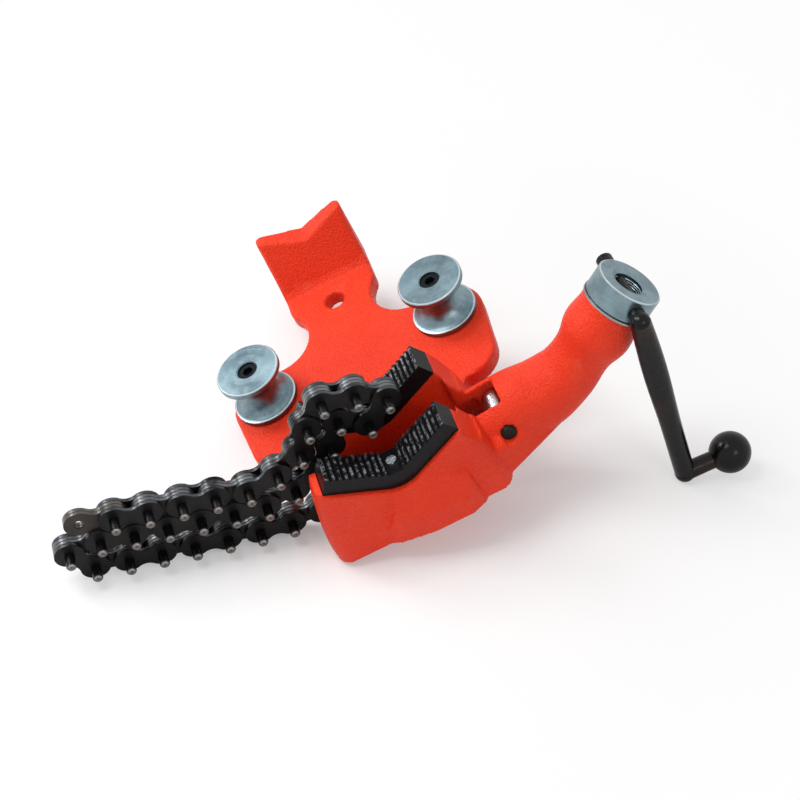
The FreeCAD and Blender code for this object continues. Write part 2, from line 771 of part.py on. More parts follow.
def outer_link(ends):
    """Two plates riveted on two pins. Each pin has its length to the front and to the back."""
    low = link_t + side_play
    solid = plate(low, link_t, 0)
    for piece in (plate(-low - link_t, link_t, 0), chain_pin(0, *ends[0]), chain_pin(pitch, *ends[1])):
        solid = solid.fuse(piece)
    return solid.removeSplitter()


def inner_link():
    """Two plates side by side, face to face."""
    hole = pin_r + pin_fit
    return Part.makeCompound([plate(-link_t, link_t, hole), plate(0, link_t, hole)])


def chain_headings():
    return (channel_headings + floor_row_headings + fold_headings + back_row_headings
            + rise_headings + drop_headings + top_row_headings)


def chain_pins():
    """Places of the pins from the anchor to the free end."""
    here = down_axis(anchor_pin_s)
    places = [here]
    for heading in chain_headings():
        a = math.radians(heading)
        here = here + Vector(math.cos(a), 0, math.sin(a)) * pitch
        places.append(here)
    return places


def chain_links():
    """The links in order. Even ones are inner links, odd ones carry two pins."""
    places = chain_pins()
    links = []
    for i, heading in enumerate(chain_headings()):
        if i % 2 == 0:
            link = inner_link()
        else:
            ends = [(pin_short, pin_short) if j < short_pins else (pin_front, pin_back) for j in (i, i + 1)]
            link = outer_link(ends)
        link.rotate(Vector(0, 0, 0), BACK, -heading)
        link.translate(places[i])
        links.append(("chain_link_%02d" % (i + 1), link))
    return links


# The whole vise, laid down on the floor

def vise_pieces():
    front, back = jaw_middles()
    pieces = [
        ("base_casting", base_casting()),
        ("front_jaw", jaw(front)),
        ("rear_jaw", jaw(back)),
        ("jaw_screws", jaw_screws()),
        ("left_roller", roller(-1)),
        ("right_roller", roller(1)),
        ("left_roller_bolt", roller_bolt(-1)),
        ("right_roller_bolt", roller_bolt(1)),
        ("guide_roller", guide_roller()),
        ("guide_pin", guide_pin()),
        ("screw_head", screw_head()),
        ("chain_screw", chain_screw()),
        ("thrust_washer", thrust_washer()),
        ("chain_anchor", chain_anchor()),
        ("crank_handle", crank_handle()),
    ]
    return pieces + chain_links()


def lean_deg():
    """Angle at which the left lobe and the bend of the crank both touch the floor."""
    elbow, bend, ball = crank_points()
    edge = Vector(-lobe_x - lobe_r, 0, 0)
    leans = []
    for centre, radius in ((bend, bend_r), (ball, ball_r)):
        across = math.hypot(centre.x - edge.x, centre.z - edge.z)
        fall = math.atan2(edge.z - centre.z, centre.x - edge.x)
        leans.append(math.degrees(fall + math.asin(radius / across)))
    return max(leans)


def laid_down(shapes):
    """Placement that leans the vise and brings its footprint's middle to the origin."""
    lean = FreeCAD.Placement(Vector(0, 0, 0), FreeCAD.Rotation(BACK, -lean_deg()))
    low = [math.inf] * 3
    high = [-math.inf] * 3
    for shape in shapes:
        turned = shape.copy()
        turned.Placement = lean.multiply(turned.Placement)
        b = turned.optimalBoundingBox(False, False)
        low = [min(a, c) for a, c in zip(low, (b.XMin, b.YMin, b.ZMin))]
        high = [max(a, c) for a, c in zip(high, (b.XMax, b.YMax, b.ZMax))]
    shift = Vector(-(low[0] + high[0]) / 2, -(low[1] + high[1]) / 2, -low[2])
    return FreeCAD.Placement(shift, FreeCAD.Rotation()).multiply(lean)


def main():
    os.makedirs("parts", exist_ok=True)
    pieces = vise_pieces()
    down = laid_down([shape for name, shape in pieces])
    for name, shape in pieces:
        shape.Placement = down.multiply(shape.Placement)
        shape.exportStep("parts/%s.step" % name)
    print("lean", round(lean_deg(), 3), "shift", down.Base)


main()
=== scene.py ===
import bmesh
import bpy
import json
import math
from mathutils import Matrix, Vector


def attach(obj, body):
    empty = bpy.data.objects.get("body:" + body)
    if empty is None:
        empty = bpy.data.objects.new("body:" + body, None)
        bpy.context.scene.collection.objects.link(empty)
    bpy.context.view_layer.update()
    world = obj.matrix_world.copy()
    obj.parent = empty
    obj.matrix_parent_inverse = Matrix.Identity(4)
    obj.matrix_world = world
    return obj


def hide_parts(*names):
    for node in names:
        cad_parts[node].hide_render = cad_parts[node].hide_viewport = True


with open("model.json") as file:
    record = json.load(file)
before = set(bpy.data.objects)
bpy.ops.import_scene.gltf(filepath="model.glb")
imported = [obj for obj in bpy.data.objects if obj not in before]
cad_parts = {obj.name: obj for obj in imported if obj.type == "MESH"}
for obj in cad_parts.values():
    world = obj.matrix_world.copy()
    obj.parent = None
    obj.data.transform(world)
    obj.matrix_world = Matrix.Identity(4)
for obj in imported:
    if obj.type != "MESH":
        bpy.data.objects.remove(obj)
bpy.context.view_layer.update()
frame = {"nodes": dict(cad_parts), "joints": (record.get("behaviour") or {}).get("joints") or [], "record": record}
nodes = frame["nodes"]
joints = {j["name"]: j for j in frame["joints"]}


# The base is one iron casting, sprayed orange-red over the sand's grain. Its edges and
# corners are soft, so a softened copy of the solid is shown, with its holes and seats kept.
casting_voxel = 0.0014
casting_smooth_rounds = 3
casting_keep = 0.48
casting_red = (0.93, 0.056, 0.013)
casting_deep_red = (0.82, 0.034, 0.006)
casting_rubbed_red = (0.92, 0.115, 0.050)
casting_rubbed_share = 0.55
casting_pebbles = 540.0
casting_rubs = 15.0
casting_grain_depth = 0.0013
casting_dull = 0.50
casting_glossy = 0.36


def finish(name):
    """A new material with its node tree and its shader."""
    material = bpy.data.materials.new(name)
    material.use_nodes = True
    tree = material.node_tree
    return material, tree, tree.nodes["Principled BSDF"]


def put(tree, kind, settings=None, **inputs):
    """Adds a node, with its settings and its inputs. A socket given as input is linked."""
    node = tree.nodes.new(kind)
    for key, value in (settings or {}).items():
        setattr(node, key, value)
    for key, value in inputs.items():
        numbered = key[0] == "i" and key[1:].isdigit()
        socket = node.inputs[int(key[1:])] if numbered else node.inputs[key.replace("_", " ")]
        if isinstance(value, bpy.types.NodeSocket):
            tree.links.new(value, socket)
        else:
            socket.default_value = value
    return node


def noise(tree, place, scale, detail, rough):
    kind = "ShaderNodeTexNoise"
    return put(tree, kind, Vector=place, Scale=scale, Detail=detail, Roughness=rough).outputs[0]


def spread(tree, value, low, high):
    """Value stretched so that low gives 0 and high gives 1, held between them."""
    smooth = {"interpolation_type": "SMOOTHSTEP"}
    return put(tree, "ShaderNodeMapRange", smooth, i0=value, i1=low, i2=high).outputs[0]


def between(tree, value, low, high, low_out, high_out):
    """Value stretched from one stretch to another, held at both ends."""
    return put(tree, "ShaderNodeMapRange", i0=value, i1=low, i2=high, i3=low_out, i4=high_out).outputs[0]


def combine(tree, operation, a, b):
    return put(tree, "ShaderNodeMath", {"operation": operation}, i0=a, i1=b).outputs[0]


def times(tree, a, b):
    return combine(tree, "MULTIPLY", a, b)


def blend_colour(tree, share, a, b):
    """Colour that goes from a to b as the share goes from 0 to 1."""
    node = put(tree, "ShaderNodeMix", {"data_type": "RGBA"}, i0=share)
    for index, colour in ((6, a), (7, b)):
        if isinstance(colour, bpy.types.NodeSocket):
            tree.links.new(colour, node.inputs[index])
        else:
            node.inputs[index].default_value = (*colour, 1.0)
    return node.outputs[2]


def object_places(tree):
    return put(tree, "ShaderNodeTexCoord").outputs["Object"]


def raise_skin(tree, shader, strength, depth, height):
    """Bump of the given depth in metres on the shader's normal."""
    bump = put(tree, "ShaderNodeBump", Strength=strength, Distance=depth, Height=height)
    tree.links.new(bump.outputs[0], shader.inputs["Normal"])


def mask_group(name, places, values, results):
    """Shader group with its place inputs, its number inputs and its number outputs."""
    group = bpy.data.node_groups.new(name, "ShaderNodeTree")
    face = group.interface
    for label in places:
        face.new_socket(label, in_out="INPUT", socket_type="NodeSocketVector")
    for label, usual in values.items():
        face.new_socket(label, in_out="INPUT", socket_type="NodeSocketFloat").default_value = usual
    for label in results:
        face.new_socket(label, in_out="OUTPUT", socket_type="NodeSocketFloat")
    return group, group.nodes.new("NodeGroupInput"), group.nodes.new("NodeGroupOutput")


def grain_group():
    """Sand grain of a painted casting: low pebbles with finer grit on them."""
    group, start, end = mask_group("sand grain", ["Place"], {"Pebbles": casting_pebbles},
                                   ["Height", "Blotch"])
    place, pebbles = start.outputs["Place"], start.outputs["Pebbles"]
    coarse = noise(group, place, pebbles, 3.0, 0.62)
    cells = put(group, "ShaderNodeTexVoronoi", {"feature": "SMOOTH_F1"}, Vector=place,
                Scale=times(group, pebbles, 1.45), Smoothness=1.0).outputs[0]
    height = combine(group, "SUBTRACT", coarse, times(group, cells, 0.55))
    group.links.new(height, end.inputs["Height"])
    group.links.new(noise(group, place, 26.0, 4.0, 0.6), end.inputs["Blotch"])
    return group


sand_grain = grain_group()


def red_paint():
    """Enamel that is a little deeper in the low places of the skin, and rubbed in a few spots."""
    material, tree, shader = finish("orange-red enamel on cast iron")
    place = object_places(tree)
    grain = put(tree, "ShaderNodeGroup", {"node_tree": sand_grain}, Place=place, Pebbles=casting_pebbles)
    height, blotch = grain.outputs["Height"], grain.outputs["Blotch"]
    tone = blend_colour(tree, spread(tree, blotch, 0.30, 0.72), casting_deep_red, casting_red)
    high = times(tree, spread(tree, height, -0.05, 0.30), 0.5)
    tone = blend_colour(tree, high, casting_deep_red, tone)
    rub = noise(tree, place, casting_rubs, 6.0, 0.72)
    wear_and_highlight = times(tree, spread(tree, rub, 0.62, 0.74), casting_rubbed_share)
    tree.links.new(blend_colour(tree, wear_and_highlight, tone, casting_rubbed_red), shader.inputs["Base Color"])
    gloss = between(tree, height, 0.0, 0.45, casting_dull, casting_glossy)
    tree.links.new(gloss, shader.inputs["Roughness"])
    raise_skin(tree, shader, 0.85, casting_grain_depth, height)
    shader.inputs["Specular IOR Level"].default_value = 0.24
    return material


def softened(node_name, piece_name, voxel, rounds, keep):
    """Copy of a solid, closed up, remeshed and smoothed so that its edges turn soft."""
    mesh = nodes[node_name].data.copy()
    mesh.materials.clear()
    work = bmesh.new()
    work.from_mesh(mesh)
    bmesh.ops.remove_doubles(work, verts=work.verts, dist=1e-6)
    work.to_mesh(mesh)
    work.free()
    piece = bpy.data.objects.new(piece_name, mesh)
    bpy.context.scene.collection.objects.link(piece)
    remesh = piece.modifiers.new("cast skin", "REMESH")
    remesh.mode = "VOXEL"
    remesh.voxel_size = voxel
    smooth = piece.modifiers.new("soft edges", "SMOOTH")
    smooth.factor = 0.5
    smooth.iterations = rounds
    thin = piece.modifiers.new("fewer faces", "DECIMATE")
    thin.ratio = keep
    bpy.context.view_layer.update()
    made = bpy.data.meshes.new_from_object(piece.evaluated_get(bpy.context.evaluated_depsgraph_get()))
    piece.modifiers.clear()
    piece.data = made
    made.shade_smooth()
    return piece


casting = softened("base_casting", "red_casting", casting_voxel, casting_smooth_rounds, casting_keep)
casting.data.materials.append(red_paint())
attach(casting, "frame")
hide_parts("base_casting")


# The jaws are hardened steel, blacked in hot oil, with sawn ridges across both arms of the V.
# Handling has rubbed the crests of the ridges to bare steel, with painted glints on them, and the flanks keep an
# oily black.
jaw_rise = math.radians(30.0)
jaw_vertex_square = Vector((0.0, 0.0, 0.04886))
jaw_black = (0.005, 0.005, 0.006)
jaw_dusty = (0.011, 0.011, 0.013)
jaw_bare_and_glint = (0.56, 0.59, 0.62)
jaw_scratches = 260.0
jaw_patches = 60.0
jaw_scratch_depth = 0.0002
jaw_plain_half = 0.008
crest_deep = 0.00014
roller_joint = joints["left_roller_turn"]
roller_axis = Vector(roller_joint["axis"])
roller_place_square = Vector((-0.0814, 0.120, 0.035))
lean = math.atan2(-roller_axis.x, roller_axis.z)
laid_turn = Matrix.Rotation(-lean, 4, "Y")
laid = Matrix.Translation(Vector(roller_joint["pos_m"]) - laid_turn @ roller_place_square) @ laid_turn


def dress(node_name, material):
    """Puts a material on a solid that is shown as it is."""
    solid = nodes[node_name]
    if not solid.material_slots:
        solid.data.materials.append(material)
    for holder in solid.material_slots:
        holder.material = material


def unsigned(tree, value):
    return put(tree, "ShaderNodeMath", {"operation": "ABSOLUTE"}, i0=value).outputs[0]


def vectors(tree, operation, a, b, output=0):
    return put(tree, "ShaderNodeVectorMath", {"operation": operation}, i0=a, i1=b).outputs[output]


def along(tree, place, origin, direction):
    """Distance of each point from a plane through the origin, square to the direction."""
    shifted = vectors(tree, "SUBTRACT", place, tuple(origin))
    return vectors(tree, "DOT_PRODUCT", shifted, tuple(direction), 1)


def blacked_jaw():
    """Oily black, with bare steel and painted glints along the crests but not on the plain middle of the V."""
    material, tree, shader = finish("oil-blacked jaw steel")
    place = object_places(tree)
    origin = laid @ jaw_vertex_square
    turn = laid.to_3x3()
    out, up = math.sin(jaw_rise), math.cos(jaw_rise)
    left = along(tree, place, origin, turn @ Vector((out, 0, up)))
    right = along(tree, place, origin, turn @ Vector((-out, 0, up)))
    low = combine(tree, "MINIMUM", left, right)
    rubs = noise(tree, place, jaw_scratches, 5.0, 0.7)
    wide = noise(tree, place, jaw_patches, 3.0, 0.6)
    worn_low = combine(tree, "ADD", low, between(tree, rubs, 0.3, 0.7, -crest_deep, crest_deep))
    above = spread(tree, low, crest_deep, 2 * crest_deep)
    tip = combine(tree, "SUBTRACT", spread(tree, worn_low, -crest_deep, 0.0), above)
    aside = unsigned(tree, along(tree, place, origin, turn @ Vector((1, 0, 0))))
    crests = times(tree, tip, spread(tree, aside, 0.75 * jaw_plain_half, jaw_plain_half))
    patches = between(tree, wide, 0.40, 0.64, 0.15, 0.90)
    # Painted glints: bright specks of bare steel picked out along the crests.
    glints = times(tree, spread(tree, rubs, 0.44, 0.66), patches)
    crest_wear_and_glints = times(tree, crests, glints)
    dusty = blend_colour(tree, wide, jaw_black, jaw_dusty)
    tree.links.new(blend_colour(tree, crest_wear_and_glints, dusty, jaw_bare_and_glint), shader.inputs["Base Color"])
    tree.links.new(between(tree, rubs, 0.3, 0.75, 0.18, 0.40), shader.inputs["Roughness"])
    tree.links.new(times(tree, crest_wear_and_glints, 0.9), shader.inputs["Metallic"])
    raise_skin(tree, shader, 0.30, jaw_scratch_depth, rubs)
    shader.inputs["Specular IOR Level"].default_value = 0.11
    return material


jaw_finish = blacked_jaw()
dress("front_jaw", jaw_finish)
dress("rear_jaw", jaw_finish)


# The bending rollers are turned steel with a thin, bluish zinc plate. The lathe's fine rings
# show under the plate on every turned face, and the sharp rims carry a painted highlight.
zinc_light = (0.24, 0.33, 0.37)
zinc_dark = (0.10, 0.155, 0.185)
zinc_rim_highlight = (0.60, 0.66, 0.69)
zinc_rough = 0.30
zinc_drawn_out = 0.65
zinc_clouds = 45.0
rings_scale = 1900.0
ring_depth = 0.00022
rim_starts, rim_full, rim_fades, rim_ends = 0.0017, 0.0010, 0.0006, 0.0001
rim_highlight_share = 0.8
roller_rim_radius = 0.0268


def turned_group():
    """Lathe rings about an axis, the cloudy tone of zinc plate, and the distance from the axis."""
    group, start, end = mask_group("lathe rings", ["Place", "Centre", "Axis"], {"Rings": rings_scale},
                                   ["Height", "Cloud", "Radius"])
    shifted = vectors(group, "SUBTRACT", start.outputs["Place"], start.outputs["Centre"])
    along_axis = vectors(group, "DOT_PRODUCT", shifted, start.outputs["Axis"], 1)
    across = vectors(group, "CROSS_PRODUCT", shifted, start.outputs["Axis"])
    radius = put(group, "ShaderNodeVectorMath", {"operation": "LENGTH"}, i0=across).outputs[1]
    both = put(group, "ShaderNodeCombineXYZ", X=radius, Y=along_axis, Z=0.0).outputs[0]
    group.links.new(noise(group, both, start.outputs["Rings"], 2.0, 0.7), end.inputs["Height"])
    group.links.new(noise(group, start.outputs["Place"], zinc_clouds, 7.0, 0.72), end.inputs["Cloud"])
    group.links.new(radius, end.inputs["Radius"])
    return group


lathe_rings = turned_group()


def zinc_plate(name, centre, axis, light=zinc_light, dark=zinc_dark, rough=zinc_rough, rim_radius=None):
    """Plated or ground steel turned about an axis, with the gloss drawn out across its rings, and a painted rim
    highlight when a rim radius is given.
    """
    material, tree, shader = finish(name)
    place = object_places(tree)
    rings = put(tree, "ShaderNodeGroup", {"node_tree": lathe_rings}, Place=place, Centre=tuple(centre),
                Axis=tuple(axis), Rings=rings_scale)
    cloud, radius = rings.outputs["Cloud"], rings.outputs["Radius"]
    around = vectors(tree, "CROSS_PRODUCT", tuple(axis), vectors(tree, "SUBTRACT", place, tuple(centre)))
    groove = put(tree, "ShaderNodeVectorMath", {"operation": "NORMALIZE"}, i0=around).outputs[0]
    tree.links.new(groove, shader.inputs["Tangent"])
    shader.inputs["Anisotropic"].default_value = zinc_drawn_out
    tone = blend_colour(tree, spread(tree, cloud, 0.34, 0.68), dark, light)
    fine = spread(tree, rings.outputs["Height"], 0.30, 0.72)
    tone = blend_colour(tree, times(tree, fine, 0.30), tone, light)
    # Painted highlight on the rim: a thin band just inside the rim radius turns to brighter zinc.
    if rim_radius:
        inner = spread(tree, radius, rim_radius - rim_starts, rim_radius - rim_full)
        outer = spread(tree, radius, rim_radius - rim_fades, rim_radius - rim_ends)
        rim = times(tree, combine(tree, "SUBTRACT", inner, outer), rim_highlight_share)
        tone = blend_colour(tree, rim, tone, zinc_rim_highlight)
    tree.links.new(tone, shader.inputs["Base Color"])
    shader.inputs["Metallic"].default_value = 1.0
    gloss = between(tree, cloud, 0.3, 0.7, rough + 0.06, rough - 0.04)
    tree.links.new(gloss, shader.inputs["Roughness"])
    raise_skin(tree, shader, 0.55, ring_depth, rings.outputs["Height"])
    return material


for side in ("left", "right"):
    joint = joints[side + "_roller_turn"]
    roller_zinc = zinc_plate(side + " roller zinc", joint["pos_m"], joint["axis"],
                             rim_radius=roller_rim_radius)
    dress(side + "_roller", roller_zinc)


# Each roller turns on a black socket-head bolt that is screwed into the plate under it.
# Its head lies deep in the roller's pocket, with a dry phosphate black.
bolt_black = (0.002, 0.004, 0.006)
bolt_specks = 700.0
phosphate_depth = 0.00015


def phosphate(name, colour, rough_low, rough_high, specks):
    """Dry black with fine lighter specks."""
    material, tree, shader = finish(name)
    speck = noise(tree, object_places(tree), specks, 6.0, 0.7)
    lighter = tuple(2.4 * c for c in colour)
    tone = blend_colour(tree, spread(tree, speck, 0.35, 0.75), colour, lighter)
    tree.links.new(tone, shader.inputs["Base Color"])
    tree.links.new(between(tree, speck, 0.3, 0.7, rough_low, rough_high), shader.inputs["Roughness"])
    raise_skin(tree, shader, 0.2, phosphate_depth, speck)
    shader.inputs["Specular IOR Level"].default_value = 0.11
    return material


bolt_finish = phosphate("bolt phosphate black", bolt_black, 0.38, 0.6, bolt_specks)
dress("left_roller_bolt", bolt_finish)
dress("right_roller_bolt", bolt_finish)


# The guide roller is ground and polished, because the chain runs over it. Its pin is pressed
# through the casting and shows as a black disc on each side.
polished_light = (0.70, 0.71, 0.72)
polished_dark = (0.32, 0.34, 0.36)
polished_rough = 0.20
guide_pin_black = (0.010, 0.0095, 0.0095)
guide_pin_specks = 500.0
guide = joints["guide_roller_turn"]
dress("guide_roller", zinc_plate("guide roller polished steel", guide["pos_m"], guide["axis"],
                                 polished_light, polished_dark, polished_rough))
dress("guide_pin", phosphate("guide pin black", guide_pin_black, 0.35, 0.55, guide_pin_specks))


# Small slotted cheese-head screws hold the jaws, one in the V of each. They are turned steel
# too, and plated brighter than the rollers.
jaw_screw_square = Vector((0.0, 0.0, 0.05))
jaw_screw_light = (0.85, 0.90, 0.92)
jaw_screw_dark = (0.55, 0.62, 0.66)
jaw_screw_rough = 0.34
jaw_screw_up = laid.to_3x3() @ Vector((0, 0, 1))
dress("jaw_screws", zinc_plate("jaw screw zinc", laid @ jaw_screw_square, jaw_screw_up,
                               jaw_screw_light, jaw_screw_dark, jaw_screw_rough))


# The screw head is a plated round with a tapped hole in its top, and the screw hangs from it
# in the tower. The washer under it and the anchor on the screw are bare, oiled steel.
screw = joints["screw_turn"]
head_half = 0.010
head_radius = 0.026
head_light = (0.25, 0.35, 0.39)
head_dark = (0.16, 0.22, 0.245)
head_rough = 0.28
oiled_light = (0.42, 0.42, 0.42)
oiled_dark = (0.22, 0.21, 0.20)
oiled_rough = 0.36
tapped_light = (0.50, 0.55, 0.58)
tapped_dark = (0.28, 0.33, 0.37)
tapped_rough = 0.26
tapped_radius = 0.0116
tapped_start = 0.0035
tapped_deep = 0.0085
tapped_pitch = 0.00175
tapped_ridge = 0.00062
# The screw head's rim gets the same painted highlight.
dress("screw_head", zinc_plate("screw head zinc", screw["pos_m"], screw["axis"],
                               head_light, head_dark, head_rough, head_radius))
oiled = zinc_plate("oiled bare steel", screw["pos_m"], screw["axis"], oiled_light, oiled_dark, oiled_rough)
for name in ("chain_screw", "thrust_washer", "chain_anchor"):
    dress(name, oiled)


def node_tree_for(name, sizes):
    """A Geometry Nodes tree with one named input for each size, and the nodes at its ends."""
    tree = bpy.data.node_groups.new(name, "GeometryNodeTree")
    face = tree.interface
    face.new_socket("Geometry", in_out="INPUT", socket_type="NodeSocketGeometry")
    face.new_socket("Geometry", in_out="OUTPUT", socket_type="NodeSocketGeometry")
    for label, value in sizes.items():
        face.new_socket(label, in_out="INPUT", socket_type="NodeSocketFloat").default_value = value
    return tree, put(tree, "NodeGroupInput"), put(tree, "NodeGroupOutput")


def close_tree(tree, shape, end, material):
    """Ends a tree in plain mesh with its material."""
    real = put(tree, "GeometryNodeRealizeInstances", Geometry=shape).outputs[0]
    painted = put(tree, "GeometryNodeSetMaterial", Geometry=real, Material=material).outputs[0]
    tree.links.new(painted, end.inputs["Geometry"])


def grown(name, tree, seed_mesh, sizes, material, body, place=None):
    """Grows a piece from its seed mesh, makes it plain mesh, and lets it ride on its body."""
    piece = bpy.data.objects.new(name, seed_mesh)
    bpy.context.scene.collection.objects.link(piece)
    growth = piece.modifiers.new("growth", "NODES")
    growth.node_group = tree
    for item in tree.interface.items_tree:
        if item.in_out == "INPUT" and item.name in sizes:
            growth[item.identifier] = sizes[item.name]
    bpy.context.view_layer.update()
    made = bpy.data.meshes.new_from_object(piece.evaluated_get(bpy.context.evaluated_depsgraph_get()))
    piece.modifiers.clear()
    if place:
        made.transform(place)
    piece.data = made
    if not made.materials:
        made.materials.append(material)
    made.shade_smooth()
    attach(piece, body)
    return piece


def circle(tree, points, radius):
    """Round path of a few straight steps, for a sweep."""
    kind = "GeometryNodeCurvePrimitiveCircle"
    return put(tree, kind, {"mode": "RADIUS"}, Resolution=points, Radius=radius).outputs[0]


def thread_tree(material):
    """A ridge that winds up the wall of a tapped hole."""
    sizes = {"Radius": tapped_radius, "Height": tapped_deep, "Turns": tapped_deep / tapped_pitch,
             "Ridge": tapped_ridge}
    tree, start, end = node_tree_for("tapped thread", sizes)
    radius = start.outputs["Radius"]
    spiral = put(tree, "GeometryNodeCurveSpiral", Resolution=48, Rotations=start.outputs["Turns"],
                 Start_Radius=radius, End_Radius=radius, Height=start.outputs["Height"])
    ridge = circle(tree, 4, start.outputs["Ridge"])
    swept = put(tree, "GeometryNodeCurveToMesh", Curve=spiral.outputs[0], Profile_Curve=ridge, Fill_Caps=True)
    close_tree(tree, swept.outputs[0], end, material)
    return tree, sizes


thread_finish = zinc_plate("tapped thread zinc", screw["pos_m"], screw["axis"],
                           tapped_light, tapped_dark, tapped_rough)
tapping, tapped_sizes = thread_tree(thread_finish)
screw_up = Vector(screw["axis"]).normalized()
if (laid.to_3x3().inverted() @ screw_up).z < 0:
    screw_up = -screw_up
thread_foot = Vector(screw["pos_m"]) + screw_up * (head_half - tapped_start - tapped_deep)
thread_place = Matrix.Translation(thread_foot) @ screw_up.to_track_quat("Z", "Y").to_matrix().to_4x4()
grown("tapped_thread", tapping, bpy.data.meshes.new("thread seed"), tapped_sizes, thread_finish,
      "screw", thread_place)


# The crank is forged from round bar, bent, and dipped in black enamel.
# The enamel is glossy and a little lumpy over the forge scale, and brown where it is thin.
crank_dark = (0.004, 0.004, 0.005)
crank_thin = (0.030, 0.013, 0.008)
crank_lumps = 150.0
crank_lump_depth = 0.0008
crank_runs = 24.0


def crank_enamel():
    material, tree, shader = finish("black crank enamel")
    place = object_places(tree)
    lumps = noise(tree, place, crank_lumps, 5.0, 0.6)
    slow = noise(tree, place, crank_runs, 3.0, 0.55)
    tone = blend_colour(tree, spread(tree, slow, 0.50, 0.72), crank_dark, crank_thin)
    tree.links.new(tone, shader.inputs["Base Color"])
    tree.links.new(between(tree, lumps, 0.3, 0.7, 0.10, 0.26), shader.inputs["Roughness"])
    raise_skin(tree, shader, 0.40, crank_lump_depth, lumps)
    shader.inputs["Specular IOR Level"].default_value = 0.20
    return material


dress("crank_handle", crank_enamel())


# The chain is leaf chain, its plates punched from strip and blued, its pins left proud at the
# front to hook in the notches. The flat sides are dry, the punched edges and pins glossier.
# The punched edges carry a painted highlight along the middle of each plate, and painted shade darkens the seams
# between the plates.
chain_y = guide["pos_m"][1]
plate_thick = 0.0032
plate_gap = 0.00008
pin_front = 0.018
pin_back = 0.0104
pin_shows, pin_sure = 0.0003, 0.0005
plate_mottle = 170.0
plate_stains = 38.0
plate_skin_depth = 0.0003
# The seam colour is painted shade, and the edge colours are painted highlights.
seam_shade = (0.004, 0.004, 0.005)
pin_tone = (0.020, 0.020, 0.022)
outer_side, outer_edge_highlight = (0.010, 0.0085, 0.0085), (0.085, 0.092, 0.10)
inner_side, inner_edge_highlight = (0.020, 0.017, 0.015), (0.17, 0.18, 0.19)
end_side, end_edge_highlight = (0.055, 0.042, 0.036), (0.12, 0.11, 0.10)


def facing_across(tree):
    """How squarely a face looks along the pins, from 0 to 1."""
    normal = put(tree, "ShaderNodeNewGeometry").outputs["Normal"]
    return unsigned(tree, put(tree, "ShaderNodeSeparateXYZ", i0=normal).outputs["Y"])


def plate_group():
    """Masks across the chain: the flat sides, the seams between the plates, and the pins."""
    group, start, end = mask_group("chain plates", ["Place"], {"Middle": 0.0, "Thickness": plate_thick},
                                   ["Flat", "Crown", "Pin"])
    across = put(group, "ShaderNodeSeparateXYZ", i0=start.outputs["Place"]).outputs["Y"]
    out = unsigned(group, combine(group, "SUBTRACT", across, start.outputs["Middle"]))
    flat = spread(group, facing_across(group), 0.55, 0.9)
    layers = combine(group, "DIVIDE", out, start.outputs["Thickness"])
    step = put(group, "ShaderNodeMath", {"operation": "FRACT"}, i0=layers).outputs[0]
    from_middle = unsigned(group, combine(group, "SUBTRACT", step, 0.5))
    crown = combine(group, "SUBTRACT", 1.0, spread(group, from_middle, 0.26, 0.5))
    pin = spread(group, out, 2 * plate_thick + pin_shows, 2 * plate_thick + pin_sure)
    group.links.new(flat, end.inputs["Flat"])
    group.links.new(combine(group, "MAXIMUM", crown, pin), end.inputs["Crown"])
    group.links.new(pin, end.inputs["Pin"])
    return group


plate_masks = plate_group()


def chain_steel(name, side_tone, edge_highlight_tone):
    """Blued plates with dry sides, a painted highlight on the punched edges with painted shade in the seams, and
    black pins.
    """
    material, tree, shader = finish(name)
    place = object_places(tree)
    masks = put(tree, "ShaderNodeGroup", {"node_tree": plate_masks}, Place=place, Middle=chain_y,
                Thickness=plate_thick + plate_gap / 2)
    flat, crown, pin = masks.outputs["Flat"], masks.outputs["Crown"], masks.outputs["Pin"]
    mottle = noise(tree, place, plate_mottle, 5.0, 0.68)
    stain = noise(tree, place, plate_stains, 3.0, 0.6)
    sides = blend_colour(tree, spread(tree, stain, 0.35, 0.68), tuple(c * 0.55 for c in side_tone), side_tone)
    # Painted highlight on each plate's edge crown, fading to painted shade in the seams between plates.
    wear_and_highlight = times(tree, crown, spread(tree, stain, 0.30, 0.60))
    edge_highlight_and_seam_shade = blend_colour(tree, wear_and_highlight, seam_shade, edge_highlight_tone)
    colour = blend_colour(tree, pin, blend_colour(tree, flat, edge_highlight_and_seam_shade, sides), pin_tone)
    tree.links.new(colour, shader.inputs["Base Color"])
    gloss = combine(tree, "ADD", times(tree, flat, 0.14), times(tree, mottle, 0.30))
    tree.links.new(combine(tree, "ADD", gloss, 0.12), shader.inputs["Roughness"])
    edges = times(tree, combine(tree, "SUBTRACT", 1.0, flat), crown)
    bare = combine(tree, "MAXIMUM", times(tree, edges, 0.85), times(tree, pin, 0.5))
    tree.links.new(bare, shader.inputs["Metallic"])
    height = combine(tree, "ADD", times(tree, crown, 1.5), times(tree, mottle, 0.6))
    raise_skin(tree, shader, 0.35, plate_skin_depth, height)
    shader.inputs["Specular IOR Level"].default_value = 0.17
    return material


outer_finish = chain_steel("chain outer plates", outer_side, outer_edge_highlight)
inner_finish = chain_steel("chain inner plates", inner_side, inner_edge_highlight)
end_finish = chain_steel("chain end plates", end_side, end_edge_highlight)
link_names = sorted(name for name in nodes if name.startswith("chain_link_"))
outer_names = [name for name in link_names if int(name[-2:]) % 2 == 0]
for name in link_names:
    dress(name, outer_finish if name in outer_names else inner_finish)
dress(link_names[-1], end_finish)


# Both ends of each chain pin are cropped and lightly headed, which leaves a brownish disc
# with a bright burr round it.
pin_end_brown = (0.115, 0.088, 0.074)
burr_bright = (0.30, 0.28, 0.265)
pin_end_mottle = 420.0
pin_end_depth = 0.0002
pin_end_radius = 0.0032
pin_end_rise = 0.00025
pin_end_rim = 0.00030
pin_end_steps = 20
burr_steps = 6
same_end = 0.0001
one_pin_wide = 0.012


